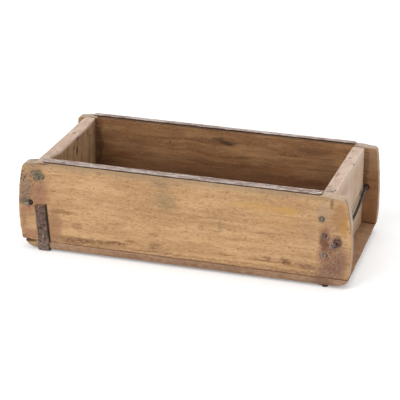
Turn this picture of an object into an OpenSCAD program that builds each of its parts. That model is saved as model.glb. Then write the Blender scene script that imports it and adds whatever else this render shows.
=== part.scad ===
// Old hand-made brick mould: a box of five nailed boards with hoop iron on its
// rims and corners, and an iron rod handle hanging between the ears at each end.
// The front long side faces -Y, +X is to the right and +Z is up.
// The ground is z = 0, where the undersides of both straps lie.
// Y = 0 is halfway between the outer faces of the side boards, and X = 0 is
// halfway between the tips of the front board's ears.

/* [Cavity] */
// Length of the brick cavity, between the end boards
cavity_l = 250; // [200:1:300]
// Width of the brick cavity, between the side boards
cavity_w = 120.5; // [90:0.1:150]
// Depth of the brick cavity, from the bottom board to the end boards' tops
cavity_d = 74.8; // [60:0.1:100]

/* [Boards] */
// Thickness of the front board
front_t = 12.5; // [10:0.1:20]
// Thickness of the back board
back_t = 8; // [7:0.1:20]
// Thickness of an end board
end_t = 12.2; // [9:0.1:18]
// Thickness of the bottom board
bottom_t = 7.4; // [6:0.1:12]
// How far the side boards' rims stand above the end boards
rim_h = 1.2; // [0.5:0.1:4]
// Radius of the worn arrises on the end boards and the bottom board
arris_r = 1.5; // [0.5:0.1:2.5]
// How far the bottom board stands proud of the front board
front_proud = 0.8; // [0.2:0.1:2]
// How far the bottom board stands proud of the back board
back_proud = 0.4; // [0.2:0.1:2]

/* [Ears] */
// Reach of the front board's left ear beyond the end board
front_left_ear = 15.3; // [11:0.1:25]
// Reach of the front board's right ear beyond the end board
front_right_ear = 18.2; // [11:0.1:25]
// Reach of the back board's left ear beyond the end board
back_left_ear = 9.4; // [9:0.1:25]
// Reach of the back board's right ear beyond the end board
back_right_ear = 14.9; // [11:0.1:25]
// Height of the left ears' fullest point above the ground
left_full_z = 40.5; // [30:0.5:50]
// Height of the right ears' fullest point above the ground
right_full_z = 34; // [30:0.5:50]
// Radius of the bowed ends of the front board's ears
front_bow_r = 200; // [120:5:400]
// Radius of the bowed ends of the back board's ears
back_bow_r = 350; // [120:5:400]
// Radius of the worn shoulders of the front board's ears
front_shoulder_r = 6; // [4:0.5:12]
// Radius of the worn shoulders of the back board's ears
back_shoulder_r = 4.5; // [4:0.5:12]
// Radius of an ear's foot
foot_r = 14; // [10:0.5:18]
// Wear on top of the front board's left ear
front_left_wear = 1.8; // [0.2:0.1:5]
// Wear on top of the front board's right ear
front_right_wear = 1.4; // [0.2:0.1:5]
// Wear on top of the back board's left ear
back_left_wear = 1.2; // [0.2:0.1:5]
// Wear on top of the back board's right ear
back_right_wear = 0.7; // [0.2:0.1:5]
// Where that wear starts, inwards from the end board's outer face
wear_start = 7; // [2:0.5:7]

/* [Bottom board ends] */
// Reach of the bottom board's left end beyond the end board
bottom_left_reach = 9.4; // [6:0.1:14]
// Reach of the bottom board's right end beyond the end board, at mid width
bottom_right_reach = 15.3; // [6:0.1:18]
// Skew of the bottom board's right end, in degrees
bottom_skew = 1.4; // [0:0.1:3]

/* [Wear strips] */
// Width of the front board's iron wear strip
front_strip_w = 9.2; // [6:0.1:9.4]
// Width of the back board's iron wear strip
back_strip_w = 6.2; // [5:0.1:6.4]
// Thickness of an iron wear strip
strip_t = 1.2; // [1.1:0.1:2]
// Gap between a wear strip's outer edge and the board's outer face
strip_margin = 0.6; // [0.1:0.1:0.6]
// Set-back of the front strip's left end from the end board's outer face
front_strip_left = 8.2; // [7:0.1:14]
// Set-back of the front strip's right end from the end board's outer face
front_strip_right = 10.2; // [7:0.1:14]
// Set-back of the back strip's ends from the end board's outer face
back_strip_ends = 9.2; // [7:0.1:14]
// Length of the snipped corners at a wear strip's ends
snip = 2; // [0.5:0.1:3]

/* [Straps] */
// Width of a strap
strap_w = 11; // [8:0.1:16]
// Thickness of a strap
strap_t = 1.8; // [1.2:0.1:2.5]
// How far the left strap's middle lies in from the middle of the end board
left_strap_in = 3.1; // [0:0.1:5]
// How far the right strap's middle lies in from the middle of the end board
right_strap_in = 0.9; // [0:0.1:5]
// Height of the broken end of the left strap's front leg
broken_leg_z = 45.3; // [25:0.1:50]
// Lean of the left strap's front leg, in degrees
leg_lean = 4.8; // [0:0.1:8]
// How far below the rims the straps' whole legs end
leg_drop = 21.2; // [19:0.1:40]

/* [Handles] */
// Diameter of the handles' rod
rod_d = 3.2; // [2.6:0.1:5.5]
// Gap between a hanging handle and the end board
handle_gap = 1.3; // [0.3:0.1:2]
// Clearance round the rod in an ear's hole
hole_gap = 0.5; // [0.2:0.1:1]
// Height of the left handle's holes above the ground
left_hole_z = 45.8; // [36:0.1:55]
// Height of the right handle's hole in the front board
right_front_hole_z = 41.1; // [36:0.1:55]
// Height of the right handle's hole in the back board
right_back_hole_z = 45.3; // [36:0.1:55]
// Straight length of rod between an ear and the bend
handle_stub = 11; // [3:0.1:12]
// Drop of the handle's bow below its pivots
handle_drop = 8; // [6:0.1:16]
// Radius of the bend next to each ear, at the rod's middle
bend_r = 9.5; // [6:0.1:14]
// Straight length of rod between that bend and the long bow
slope_l = 4; // [1:0.5:8]
// How much slimmer the rod's radius is where the smith bent it
bend_thin = 0.05; // [0.03:0.01:0.1]
// How far a peened head laps over the edge of its hole
peen_lap = 0.5; // [0.4:0.1:2]
// Height of the rod's peened head
peen_h = 1.4; // [1:0.1:3]
// Gap between a peened head or a clinched tail and the board
head_gap = 0.4; // [0.3:0.1:1]
// Length of the clinched tail past its bend
tail_l = 3.2; // [2:0.1:8]
// Inside radius of the clinched tail's bend
tail_inner_r = 0.7; // [0.5:0.1:1]
// Direction of the clinched tail, in degrees from +X as seen from the front
tail_dir = 200; // [180:5:230]

/* [Nails] */
// Radius of a nail's shank
nail_r = 1.2; // [0.8:0.1:1.5]
// Radius of a nail's round head
nail_head_r = 2.3; // [2:0.1:3]
// Height of a nail's round head
nail_head_h = 0.9; // [0.5:0.1:1.2]
// Clearance round a nail's shank
nail_gap = 0.05; // [0.05:0.05:0.2]
// Length of the nails that join the side boards to the end boards
board_nail_l = 34; // [28:1:36]
// Length of the nails that hold the bottom board
bottom_nail_l = 30; // [20:1:40]
// Length of the short nail low in the broken strap leg
leg_nail_l = 12; // [8:1:13]
// Length of the countersunk nails in the wear strips and under the straps
flush_nail_l = 22; // [14:1:30]
// Radius of a countersunk nail's head
flush_head_r = 2; // [1.8:0.1:2.4]
// Depth of a countersunk nail's head
flush_head_h = 1; // [0.6:0.1:1.1]
// Distance of the outer strip nails from the strip's ends
strip_nail_end = 19; // [6:0.5:30]
// Number of nails in a wear strip
strip_nails = 5; // [3:1:7]
// Distance of the outer bottom nails from the cavity's ends
bottom_nail_end = 32; // [10:1:50]
// Number of nails along each side board under the bottom board
bottom_nails_per_side = 4; // [2:1:6]
// Distance of the nails under a strap from the side board's inner face
under_nail_in = 22; // [15:1:30]

/* [Hidden] */

$fn = 48;
FRONT = -1;
BACK = 1;
LEFT = -1;
RIGHT = 1;
arc_step = 12;
past = 1;
far = 400;

// Planes across the mould, measured from the middle of the cavity
side_in = cavity_w / 2;
end_in = cavity_l / 2;
end_out = end_in + end_t;
end_mid = end_in + end_t / 2;

// Levels above the ground
bottom_z = strap_t;
floor_z = bottom_z + bottom_t;
end_top = floor_z + cavity_d;
rim_z = end_top + rim_h;

// Where the middle of the cavity lies
middle = [(front_left_ear - front_right_ear) / 2, (front_t - back_t) / 2, 0];

// Handle
rod_r = rod_d / 2;
bend_lap = 0.4;
peen_r = rod_r + hole_gap + peen_lap;
tail_bend_r = rod_r + tail_inner_r;
handle_x = end_out + handle_gap + rod_r;
half_span = side_in - handle_stub;
bend_a = 2 * atan(handle_drop / (half_span + slope_l));
handle_bow_r = (half_span - slope_l * cos(bend_a)) / sin(bend_a) - bend_r;
right_tilt = atan((right_back_hole_z - right_front_hole_z) / (side_mid(FRONT) + side_mid(BACK)));
right_hole_z = right_front_hole_z + side_mid(FRONT) * tan(right_tilt);

// Straps, and the step where one comes off the bottom board's proud edge
left_strap_x = -end_mid + left_strap_in;
right_strap_x = end_mid - right_strap_in;
leg_z = rim_z - leg_drop;
step_z = floor_z + 0.7;
step_h = 1.3;
// How far in from the bottom board's edge the right strap's broken end starts
break_in = 1.2;
// Nails through a strap into an end board stand where the two overlap
left_pin_x = -end_mid + left_strap_in / 2;
right_pin_x = end_mid;
leg_nail = [left_strap_x, step_z + 5];

// Nail places, as [x, height] on a side board. The upper ones hang from the rim.
// In front they stayed in the wood when the straps' iron broke away around them.
upper_nail_z = rim_z - 14.5;
high_nail_z = rim_z - 21.4;
low_nail_z = floor_z + 21.2;
mid_nail_z = low_nail_z + 0.554 * (high_nail_z - low_nail_z);
front_nails = [
    [-end_mid - 2.3, upper_nail_z],
    [-end_mid + 2.5, upper_nail_z + 0.5],
    [end_mid - 2.8, high_nail_z],
    [end_mid, mid_nail_z],
    [end_mid + 1.1, low_nail_z],
];
back_nails = [for (x = [-end_mid, end_mid]) [x, upper_nail_z]];
back_leg_nail_zs = [floor_z + 16, leg_z - 9];

wood_front = "#b98f5e";
wood_back = "#9a7650";
wood_left = "#a3825c";
wood_right = "#c3a785";
wood_bottom = "#8a6a55";
strip_iron = "#a39896";
strap_iron = "#54453d";
rod_iron = "#3f332e";
nail_iron = "#6b625b";

// Points of an arc from angle a0 to a1, with both of its ends
function arc(c, r, a0, a1) =
    let (n = max(2, ceil(abs(a1 - a0) / arc_step)))
    [for (i = [0:n]) c + r * [cos(a0 + (a1 - a0) * i / n), sin(a0 + (a1 - a0) * i / n)]];

// Points of a shallow arc between its ends, which its neighbours already hold
function bow(c, r, a0, a1, n) =
    [for (i = [1:n - 1]) c + r * [cos(a0 + (a1 - a0) * i / n), sin(a0 + (a1 - a0) * i / n)]];

// Thickness of a side board, and how far out its outer face and its middle lie
function side_t(side) = side == FRONT ? front_t : back_t;
function side_out(side) = side_in + side_t(side);
function side_mid(side) = side_in + side_t(side) / 2;

function reversed(points) = [for (i = [len(points) - 1:-1:0]) points[i]];
function flipped(points) = [for (p = points) [-p.x, p.y]];

// The width of a side's wear strip, and its two ends
function strip_w(side) = side == FRONT ? front_strip_w : back_strip_w;
function strip_ends(side) =
    side == FRONT
    ? [-end_out + front_strip_left, end_out - front_strip_right]
    : [-end_out + back_strip_ends, end_out - back_strip_ends];

// Outline of an ear at the right, upwards from its foot: a foot that sweeps up
// into a long shallow bow, a worn shoulder, and a top that wear has sloped
function ear(side, reach, full_z, wear) =
    let (
        bow_r = side == FRONT ? front_bow_r : back_bow_r,
        shoulder_r = side == FRONT ? front_shoulder_r : back_shoulder_r,
        top = rim_z - wear,
        c = [end_out + reach - bow_r, full_z],
        foot_z = bottom_z + foot_r - full_z,
        foot_x = sqrt(pow(bow_r - foot_r, 2) - pow(foot_z, 2)),
        foot_a = atan2(foot_z, foot_x),
        shoulder_z = top - shoulder_r - full_z,
        shoulder_x = sqrt(pow(bow_r - shoulder_r, 2) - pow(shoulder_z, 2)),
        shoulder_a = atan2(shoulder_z, shoulder_x)
    )
    concat(
        arc(c + [foot_x, foot_z], foot_r, -90, foot_a),
        bow(c, bow_r, foot_a, shoulder_a, 8),
        arc(c + [shoulder_x, shoulder_z], shoulder_r, shoulder_a, 90),
        [[end_out - wear_start, rim_z]]
    );

// Turns an outline drawn in X and Z into a board of thickness t from y = 0 back
module upright(t) {
    translate([0, t, 0])
        rotate([90, 0, 0])
            linear_extrude(t)
                children();
}

// Turns a section drawn in Y and Z into a bar of length l, centred on x = 0
module crosswise(l) {
    rotate([90, 0, 90])
        translate([0, 0, -l / 2])
            linear_extrude(l)
                children();
}

// A round-headed nail along +Z, whose head lies on the surface z = 0
module nail(l) {
    translate([0, 0, -nail_head_h])
        cylinder(h = nail_head_h, r1 = nail_head_r * 0.7, r2 = nail_head_r);
    cylinder(h = l, r = nail_r);
}

// A countersunk nail along +Z, whose head is flush with the surface z = 0
module flush_nail(l) {
    cylinder(h = flush_head_h, r1 = flush_head_r, r2 = nail_r);
    translate([0, 0, flush_head_h])
        cylinder(h = l - flush_head_h, r = nail_r);
}

// The hole for a nail's shank
module nail_hole(l) {
    translate([0, 0, -past])
        cylinder(h = l + past + nail_gap, r = nail_r + nail_gap);
}

// The hole for a countersunk nail, with its sink
module flush_hole(l) {
    nail_hole(l);
    translate([0, 0, -nail_gap])
        cylinder(h = flush_head_h + nail_gap, r1 = flush_head_r + 2 * nail_gap, r2 = nail_r + nail_gap);
}

// Places a child that points along +Z so that it enters a side board's face at p
module at_side(side, p, proud = 0) {
    translate([p.x, side * (side_out(side) + proud), p.y])
        rotate([side * 90, 0, 0])
            children();
}

// Places children that point along +Z so that they go down into a wear strip
module along_strip(side) {
    x0 = strip_ends(side)[0] + strip_nail_end;
    x1 = strip_ends(side)[1] - strip_nail_end;
    for (i = [0:strip_nails - 1])
        translate([
            x0 + (x1 - x0) * i / (strip_nails - 1),
            side * (side_out(side) - strip_margin - strip_w(side) / 2),
            rim_z + strip_t
        ])
            rotate([180, 0, 0])
                children();
}

// Places children that point up through the bottom board into a side board
module along_bottom(side) {
    x1 = end_in - bottom_nail_end;
    for (i = [0:bottom_nails_per_side - 1])
        translate([
            x1 * (2 * i / (bottom_nails_per_side - 1) - 1),
            side * side_mid(side),
            bottom_z
        ])
            children();
}

// Places children at the two nails that go up through a strap into an end board
module under_strap(x) {
    for (side = [FRONT, BACK])
        translate([x, side * (side_in - under_nail_in), 0])
            children();
}

// Places a handle, or what is drilled for it, on its axis along local Y
module at_handle(end) {
    translate([end * handle_x, 0, end == LEFT ? left_hole_z : right_hole_z])
        rotate([end == LEFT ? 0 : right_tilt, 0, 0])
            children();
}

// The holes that a handle's rod goes through
module handle_holes(end) {
    at_handle(end)
        rotate([90, 0, 0])
            cylinder(h = far, r = rod_r + hole_gap, center = true);
}

// Everything that is drilled for the nails which enter a side board's outer face
module side_nail_holes(side) {
    for (p = side == FRONT ? front_nails : back_nails)
        at_side(side, p)
            nail_hole(board_nail_l);
    if (side == FRONT)
        at_side(FRONT, leg_nail, strap_t)
            nail_hole(leg_nail_l);
    else
        for (x = [left_pin_x, right_pin_x])
            for (z = back_leg_nail_zs)
                at_side(BACK, [x, z], strap_t)
                    nail_hole(board_nail_l);
}

// A side board with its two ears and every hole in it
module side_board(side, outline) {
    difference() {
        translate([0, side == FRONT ? -side_out(FRONT) : side_in, 0])
            upright(side_t(side))
                difference() {
                    polygon(outline);
                    translate([-far / 2, floor_z - far])
                        square([far, far]);
                }
        for (end = [LEFT, RIGHT])
            handle_holes(end);
        side_nail_holes(side);
        along_strip(side)
            nail_hole(flush_nail_l);
        along_bottom(side)
            nail_hole(bottom_nail_l);
    }
}

module front_board() {
    color(wood_front)
        translate(middle)
            side_board(
                FRONT,
                concat(
                    ear(FRONT, front_right_ear, right_full_z, front_right_wear),
                    reversed(flipped(ear(FRONT, front_left_ear, left_full_z, front_left_wear)))
                )
            );
}

module back_board() {
    color(wood_back)
        translate(middle)
            side_board(
                BACK,
                concat(
                    ear(BACK, back_right_ear, right_full_z, back_right_wear),
                    reversed(flipped(ear(BACK, back_left_ear, left_full_z, back_left_wear)))
                )
            );
}

// An end board stands between the side boards, its top arrises worn round
module end_board(end, pin_x) {
    difference() {
        rotate([0, 0, 90])
            translate([-side_in, end == LEFT ? end_in : -end_out, 0])
                rotate([90, 0, 90])
                    linear_extrude(cavity_w)
                        polygon(concat(
                            [[0, floor_z], [end_t, floor_z]],
                            arc([end_t - arris_r, end_top - arris_r], arris_r, 0, 90),
                            arc([arris_r, end_top - arris_r], arris_r, 90, 180)
                        ));
        side_nail_holes(FRONT);
        side_nail_holes(BACK);
        under_strap(pin_x)
            nail_hole(flush_nail_l);
    }
}

module left_end_board() {
    color(wood_left)
        translate(middle)
            end_board(LEFT, left_pin_x);
}

module right_end_board() {
    color(wood_right)
        translate(middle)
            end_board(RIGHT, right_pin_x);
}

// What is cut away beyond a rounded end of the bottom board, drawn for the right
module bottom_end_cut(reach, skew) {
    end_a = asin((foot_r - bottom_t) / foot_r);
    c = [reach - foot_r * cos(end_a), bottom_z + foot_r];
    low = bottom_z - past;
    high = floor_z + past;
    translate([end_out, 0, 0])
        rotate([0, 0, skew])
            translate([0, -far / 2, 0])
                upright(far)
                    polygon(concat(
                        [[c.x, low]],
                        arc(c, foot_r, -90, -end_a),
                        [[reach, high], [reach + far, high], [reach + far, low]]
                    ));
}

module bottom_board() {
    front = side_out(FRONT) + front_proud;
    back = side_out(BACK) + back_proud;
    color(wood_bottom)
        translate(middle)
            difference() {
                crosswise(far)
                    polygon(concat(
                        arc([-front + arris_r, bottom_z + arris_r], arris_r, 180, 270),
                        arc([back - arris_r, bottom_z + arris_r], arris_r, 270, 360),
                        [[back, floor_z], [-front, floor_z]]
                    ));
                bottom_end_cut(bottom_right_reach, bottom_skew);
                mirror([1, 0, 0])
                    bottom_end_cut(bottom_left_reach, 0);
                for (side = [FRONT, BACK])
                    along_bottom(side)
                        nail_hole(bottom_nail_l);
                for (x = [left_pin_x, right_pin_x])
                    under_strap(x)
                        nail_hole(flush_nail_l);
            }
}

// A flat strip of hoop iron on a side board's rim, its corners snipped off
module wear_strip(side) {
    x0 = strip_ends(side)[0];
    x1 = strip_ends(side)[1];
    outer = side_out(side) - strip_margin;
    inner = outer - strip_w(side);
    difference() {
        translate([0, 0, rim_z])
            linear_extrude(strip_t)
                polygon([
                    [x0 + snip, side * outer],
                    [x1 - snip, side * outer],
                    [x1, side * (outer - snip)],
                    [x1, side * inner],
                    [x0, side * inner],
                    [x0, side * (outer - snip)],
                ]);
        along_strip(side)
            flush_hole(flush_nail_l);
    }
}

module front_wear_strip() {
    color(strip_iron)
        translate(middle)
            wear_strip(FRONT);
}

module back_wear_strip() {
    color(strip_iron)
        translate(middle)
            wear_strip(BACK);
}

// How far out the bottom board's edge stands under a side board
function bottom_edge(side) = side_out(side) + (side == FRONT ? front_proud : back_proud);

// Half of a strap's path at distance off from the wood, from under the middle of
// the mould round the bottom board's arris and up a leg, drawn for the back.
// A strap that ends below the side board broke off under the bottom board.
function strap_half(side, top, off) =
    let (
        out = side_out(side),
        edge = bottom_edge(side)
    )
    concat(
        [[0, bottom_z - off]],
        top > floor_z
        ? concat(
            arc([edge - arris_r, bottom_z + arris_r], arris_r + off, -90, 0),
            [
                [edge + off, step_z + off / 2],
                [out + off, step_z + step_h + off / 2],
                [out + off, top],
            ]
        )
        : [[edge - break_in, bottom_z - off]]
    );

// A strap bent round the bottom, from the top of its front leg to its back leg
module bent_strap(front_top, back_top) {
    crosswise(strap_w)
        polygon(concat(
            reversed(flipped(strap_half(FRONT, front_top, strap_t))),
            strap_half(BACK, back_top, strap_t),
            reversed(strap_half(BACK, back_top, 0)),
            flipped(strap_half(FRONT, front_top, 0))
        ));
}

// The left strap's front leg leans and ends where it broke
module broken_leg() {
    h = broken_leg_z - step_z - step_h;
    translate([left_strap_x, -side_out(FRONT) - strap_t, step_z + step_h])
        rotate([0, -leg_lean, 0])
            upright(strap_t)
                polygon([
                    [-strap_w / 2, -0.4],
                    [strap_w / 2, -0.4],
                    [strap_w / 2, h - 1.4],
                    [strap_w * 0.22, h],
                    [-strap_w * 0.08, h - 0.7],
                    [-strap_w * 0.3, h - 0.1],
                    [-strap_w / 2, h - 0.8],
                ]);
}

// The holes in a strap's back leg and under the mould
module strap_holes(pin_x) {
    for (z = back_leg_nail_zs)
        at_side(BACK, [pin_x, z], strap_t)
            nail_hole(board_nail_l);
    under_strap(pin_x)
        flush_hole(flush_nail_l);
}

module left_strap() {
    color(strap_iron)
        translate(middle)
            difference() {
                union() {
                    translate([left_strap_x, 0, 0])
                        bent_strap(step_z + step_h + strap_t, leg_z);
                    broken_leg();
                }
                strap_holes(left_pin_x);
                at_side(FRONT, leg_nail, strap_t)
                    nail_hole(leg_nail_l);
            }
}

// What rust has eaten from a strap's front end where it broke off, as an outline in
// parts of the strap's width across and in millimetres from the bottom board's edge
module eaten_end() {
    in = [5.4, 4.4, 5, break_in, break_in, 2.8, 3.6];
    across = [-0.5, -0.2, -0.08, 0.06, 0.38, 0.43, 0.5];
    translate([0, -bottom_edge(FRONT), -past])
        linear_extrude(strap_t + 2 * past)
            polygon(concat(
                [for (i = [0:len(in) - 1]) [across[i] * strap_w, in[i]]],
                [[strap_w / 2 + past, in[len(in) - 1]], [strap_w / 2 + past, -past]],
                [[-strap_w / 2 - past, -past], [-strap_w / 2 - past, in[0]]]
            ));
}

// The right strap has lost its front leg and ends under the bottom board
module right_strap() {
    color(strap_iron)
        translate(middle)
            difference() {
                translate([right_strap_x, 0, 0])
                    difference() {
                        bent_strap(bottom_z, leg_z);
                        eaten_end();
                    }
                strap_holes(right_pin_x);
            }
}

// A stretch of round rod bent to radius r from angle a0 through a, in the XY plane.
// It laps a little into the straight stretches at its two ends.
module rod_arc(r, a0, a) {
    lap_a = atan(bend_lap / r);
    rotate([0, 0, a0 - lap_a])
        rotate_extrude(angle = a + 2 * lap_a)
            translate([r, 0])
                circle(r = rod_r - bend_thin);
}

// The same in the local YZ plane, about point c
module rod_bend(c, r, a0, a) {
    translate([0, c.x, c.y])
        rotate([90, 0, 90])
            rod_arc(r, a0, a);
}

// A straight stretch of rod along the local Y axis
module rod_straight(y0, y1) {
    translate([0, y0, 0])
        rotate([-90, 0, 0])
            cylinder(h = y1 - y0, r = rod_r);
}

// The sloping stretch between the bend by an ear and the bow, drawn for the back
module rod_slope() {
    translate([0, half_span - bend_r * sin(bend_a), bend_r * (cos(bend_a) - 1)])
        rotate([90 + bend_a, 0, 0])
            cylinder(h = slope_l, r = rod_r);
}

// A peened head on the rod's end, drawn for the back
module peened_end(side) {
    head_y = side_out(side) + head_gap;
    rod_straight(half_span, head_y);
    translate([0, head_y, 0])
        rotate([-90, 0, 0]) {
            cylinder(h = peen_h / 2, r = peen_r);
            translate([0, 0, peen_h / 2])
                cylinder(h = peen_h / 2, r1 = peen_r, r2 = peen_r * 0.6);
        }
}

// The rod's end bent over against the board, drawn for the front
module clinched_end() {
    tail_y = -(side_out(FRONT) + head_gap + rod_r);
    bend_y = tail_y + tail_bend_r;
    rod_straight(bend_y, -half_span);
    rotate([0, -tail_dir, 0]) {
        translate([tail_bend_r, bend_y, 0])
            rod_arc(tail_bend_r, 180, 90);
        translate([tail_bend_r, tail_y, 0])
            rotate([0, 90, 0])
                cylinder(h = tail_l, r = rod_r);
    }
}

// A hanging handle on its pivot axis, which is local Y
module handle(clinched) {
    rod_bend([half_span, -bend_r], bend_r, 90, bend_a);
    rod_bend([-half_span, -bend_r], bend_r, 90 - bend_a, bend_a);
    rod_slope();
    mirror([0, 1, 0])
        rod_slope();
    rod_bend([0, handle_bow_r - handle_drop], handle_bow_r, -90 - bend_a, 2 * bend_a);
    peened_end(BACK);
    if (clinched)
        clinched_end();
    else
        mirror([0, 1, 0])
            peened_end(FRONT);
}

module left_handle() {
    color(rod_iron)
        translate(middle)
            at_handle(LEFT)
                handle(true);
}

module right_handle() {
    color(rod_iron)
        translate(middle)
            at_handle(RIGHT)
                handle(false);
}

module front_board_nails() {
    color(nail_iron)
        translate(middle)
            for (p = front_nails)
                at_side(FRONT, p)
                    nail(board_nail_l);
}

module back_board_nails() {
    color(nail_iron)
        translate(middle)
            for (p = back_nails)
                at_side(BACK, p)
                    nail(board_nail_l);
}

module bottom_nails() {
    color(nail_iron)
        translate(middle)
            for (side = [FRONT, BACK])
                along_bottom(side)
                    nail(bottom_nail_l);
}

module front_strip_nails() {
    color(nail_iron)
        translate(middle)
            along_strip(FRONT)
                flush_nail(flush_nail_l);
}

module back_strip_nails() {
    color(nail_iron)
        translate(middle)
            along_strip(BACK)
                flush_nail(flush_nail_l);
}

// The nails in a strap's back leg and those that go up through it
module strap_nails(pin_x) {
    for (z = back_leg_nail_zs)
        at_side(BACK, [pin_x, z], strap_t)
            nail(board_nail_l);
    under_strap(pin_x)
        flush_nail(flush_nail_l);
}

module left_strap_nails() {
    color(nail_iron)
        translate(middle) {
            strap_nails(left_pin_x);
            at_side(FRONT, leg_nail, strap_t)
                nail(leg_nail_l);
        }
}

module right_strap_nails() {
    color(nail_iron)
        translate(middle)
            strap_nails(right_pin_x);
}

front_board();
back_board();
left_end_board();
right_end_board();
bottom_board();
front_wear_strip();
back_wear_strip();
left_strap();
right_strap();
left_handle();
right_handle();
front_board_nails();
back_board_nails();
bottom_nails();
front_strip_nails();
back_strip_nails();
left_strap_nails();
right_strap_nails();
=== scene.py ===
# Old hand-made brick mould: nailed boards, hoop iron and two rod handles.
# Places are in metres in the model, and in millimetres in the finishes.
import math
import bpy
import numpy as np
from mathutils import Matrix, Vector


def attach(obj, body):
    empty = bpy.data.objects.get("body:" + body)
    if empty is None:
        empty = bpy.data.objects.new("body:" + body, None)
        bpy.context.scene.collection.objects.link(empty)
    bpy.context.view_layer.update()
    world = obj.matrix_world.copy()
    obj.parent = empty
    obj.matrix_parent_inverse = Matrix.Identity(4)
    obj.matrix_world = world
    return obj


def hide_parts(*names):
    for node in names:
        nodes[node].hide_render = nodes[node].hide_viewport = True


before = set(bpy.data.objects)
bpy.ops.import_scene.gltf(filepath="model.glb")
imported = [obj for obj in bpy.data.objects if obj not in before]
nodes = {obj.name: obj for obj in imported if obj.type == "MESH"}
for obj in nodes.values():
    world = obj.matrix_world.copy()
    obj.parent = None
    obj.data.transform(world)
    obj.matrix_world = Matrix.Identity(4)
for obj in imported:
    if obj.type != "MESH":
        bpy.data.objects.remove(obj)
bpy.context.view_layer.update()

MM = 0.001

# Planes of the mould, in millimetres
FRONT_FACE = -70.5
BACK_INSIDE = 62.5
LEFT_INSIDE = -126.45
RIGHT_OUTSIDE = 135.75
END_TOP = 84.0

# The height that the broken leg of the left strap leans from, and its lean per millimetre of rise
STRAP_FOOT = 11
STRAP_LEAN = 0.084

# The three nails at the front board's right end, in x and z, in millimetres
RIGHT_NAILS = ((126.85, 63.8), (129.65, 48.9), (130.75, 30.4))

# How shiny every finish is, as the shader's specular level
SHINE = 0.3

# The middles of the two rods in x and z, in metres, and how near to one the wood isn't carved
LEFT_ROD = (-0.14155, 0.0458)
RIGHT_ROD = (0.13865, 0.0432)
HOLE_REACH = 0.006

# Points of a mesh that are nearer than this are one point, in metres
SAME_POINT = 0.000001

# The wear of the boards: rounds of rubbing, the movement in millimetres that counts as fully
# rubbed, and the depth and size in millimetres of each relief that is pressed into them
FREE_ROUNDS = 2
END_ROUNDS = 5
CORNER_ROUNDS = 30
FULLY_RUBBED = 0.6
WARP = (0.25, 26)
SCUFFS = (0.2, 5)
KNOCKS = (0.4, 14)

# The strength of the sky that lights the mould, and of the white one that is seen
DIM_SKY = 0.55
WHITE_SKY = 1.0
WHITE = (1, 1, 1, 1)

# The floor's width in metres, its colour, and the light that it adds where it is seen
FLOOR_WIDTH = 8
FLOOR_SHADE = (0.8, 0.8, 0.8, 1)
FLOOR_GLOW = 0.3

# Lamps: name, place in metres, size in metres and power in watts
LAMPS = (
    ("key_lamp", (-0.9, -1.5, 1.7), 1.4, 26),
    ("top_lamp", (0.3, 0.2, 1.9), 1.6, 14),
)

# The camera of the photograph, found from the mould's corners in it: angles in degrees, its
# place in metres, and its lens in millimetres
CAMERA_ANGLES = (16.663, 21.954, 0.547)
CAMERA_PLACE = (0.43058, -1.44991, 0.64832)
CAMERA_LENS = 160.03


def tone(code):
    """A colour written as six hex digits, as a shader takes it."""
    parts = [int(code[i:i + 2], 16) / 255 for i in (0, 2, 4)]
    linear = [c / 12.92 if c <= 0.04045 else ((c + 0.055) / 1.055) ** 2.4 for c in parts]
    return (*linear, 1.0)


class Wire:
    """The value of a shader socket. Arithmetic on it adds Math nodes."""

    def __init__(self, finish, socket):
        self.finish = finish
        self.socket = socket

    def __add__(self, other):
        return self.finish.maths("ADD", self, other)

    def __radd__(self, other):
        return self.finish.maths("ADD", other, self)

    def __sub__(self, other):
        return self.finish.maths("SUBTRACT", self, other)

    def __rsub__(self, other):
        return self.finish.maths("SUBTRACT", other, self)

    def __mul__(self, other):
        return self.finish.maths("MULTIPLY", self, other)

    def __rmul__(self, other):
        return self.finish.maths("MULTIPLY", other, self)


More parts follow.
